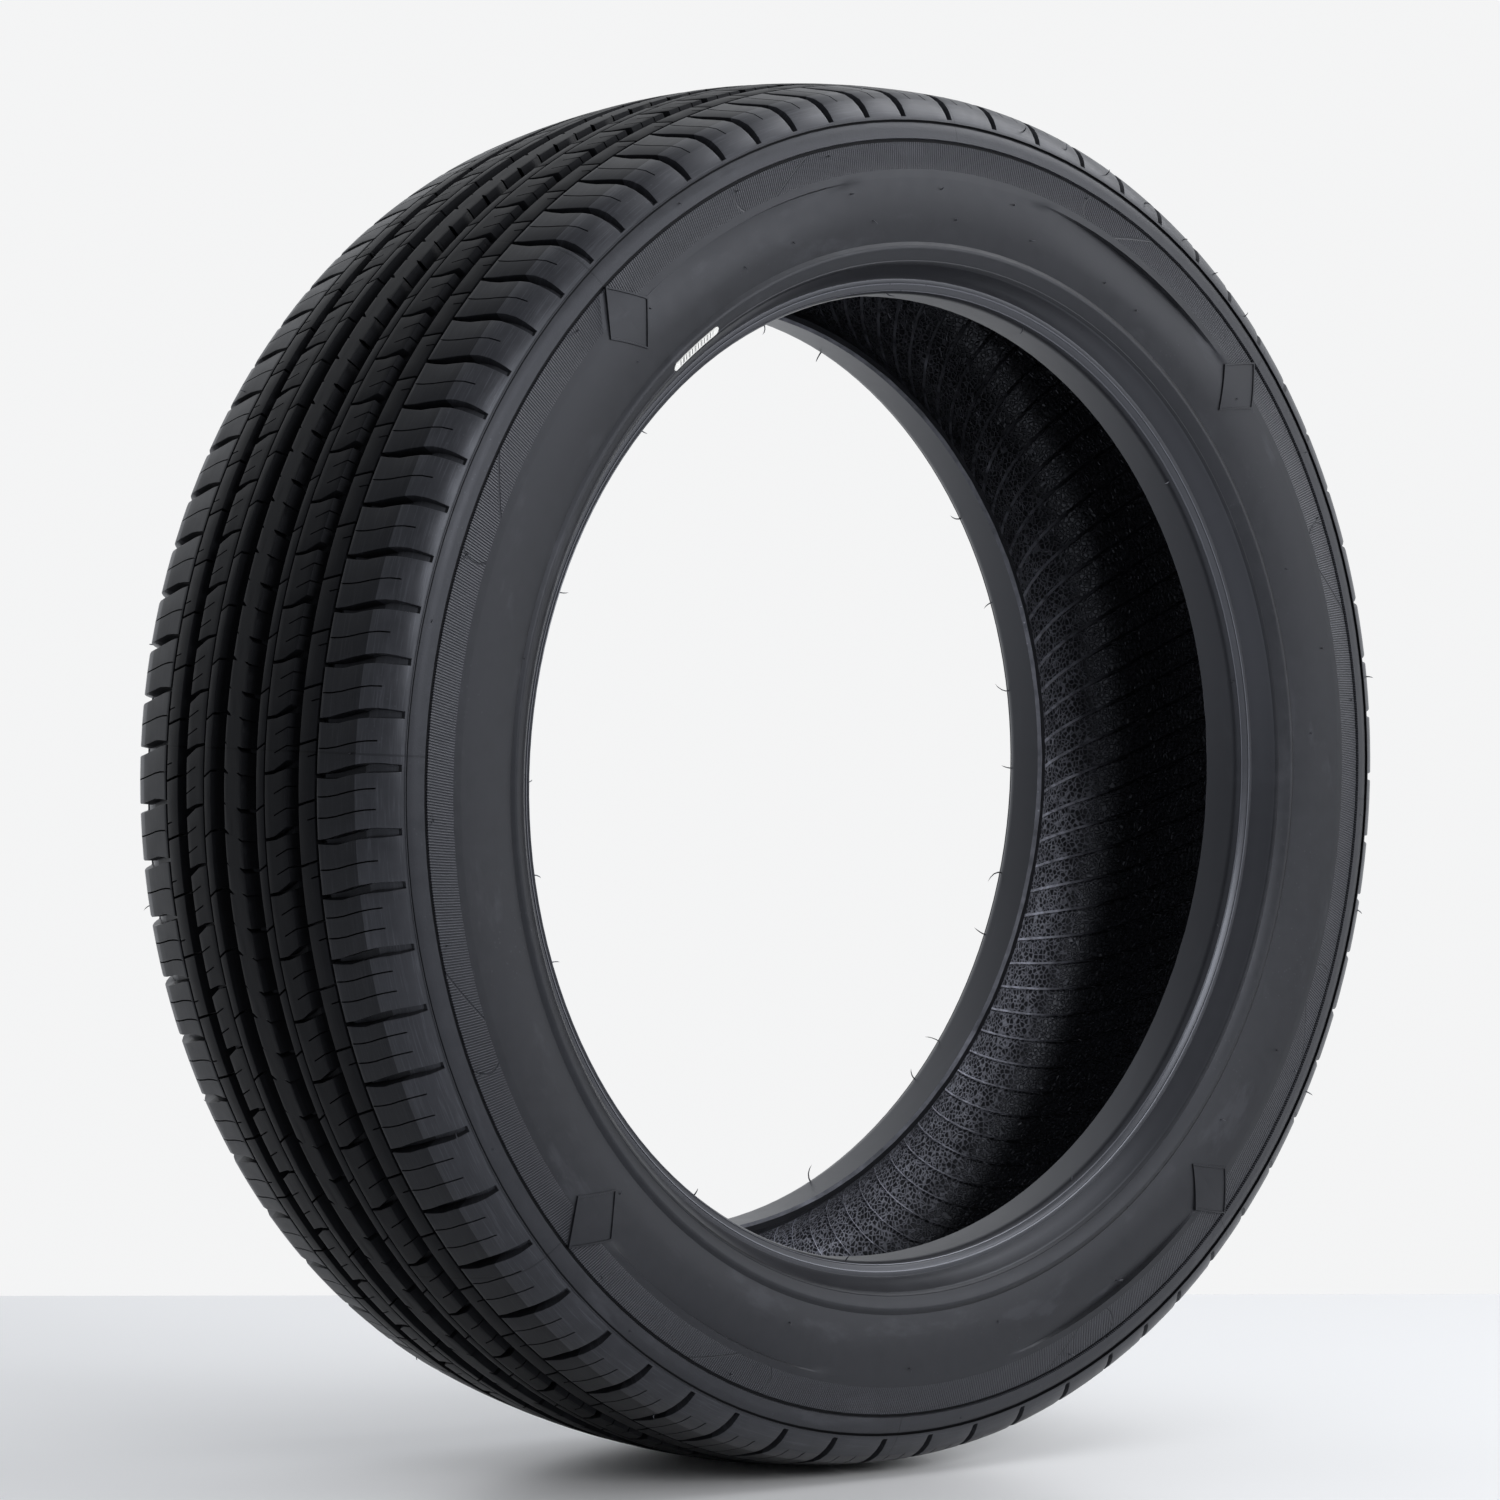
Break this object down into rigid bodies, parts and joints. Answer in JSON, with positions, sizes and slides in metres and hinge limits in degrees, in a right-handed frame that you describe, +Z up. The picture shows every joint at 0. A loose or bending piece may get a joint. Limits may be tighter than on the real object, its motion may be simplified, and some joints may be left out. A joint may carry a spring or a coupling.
{
  "type": "car tyre",
  "caption": "Low-profile passenger car tyre off its rim: ribbed tread with slots and shoulder grooves, open inside, a protector ridge above each bead.",
  "frame": {"origin": "wheel centre: on the axle line, midway between the two bead seats", "axes": "+Y along the axle, +Z up with the tyre standing on its tread; the side with the bar label faces -Y"},
  "size_m": [0.66, 0.2, 0.658],
  "materials": {
    "tread_rubber": "satin",
    "label_film": "matt"
  },
  "bodies": {
    "root": {"tyre": "tread_rubber", "bar_label": "label_film"}
  },
  "joints": []
}
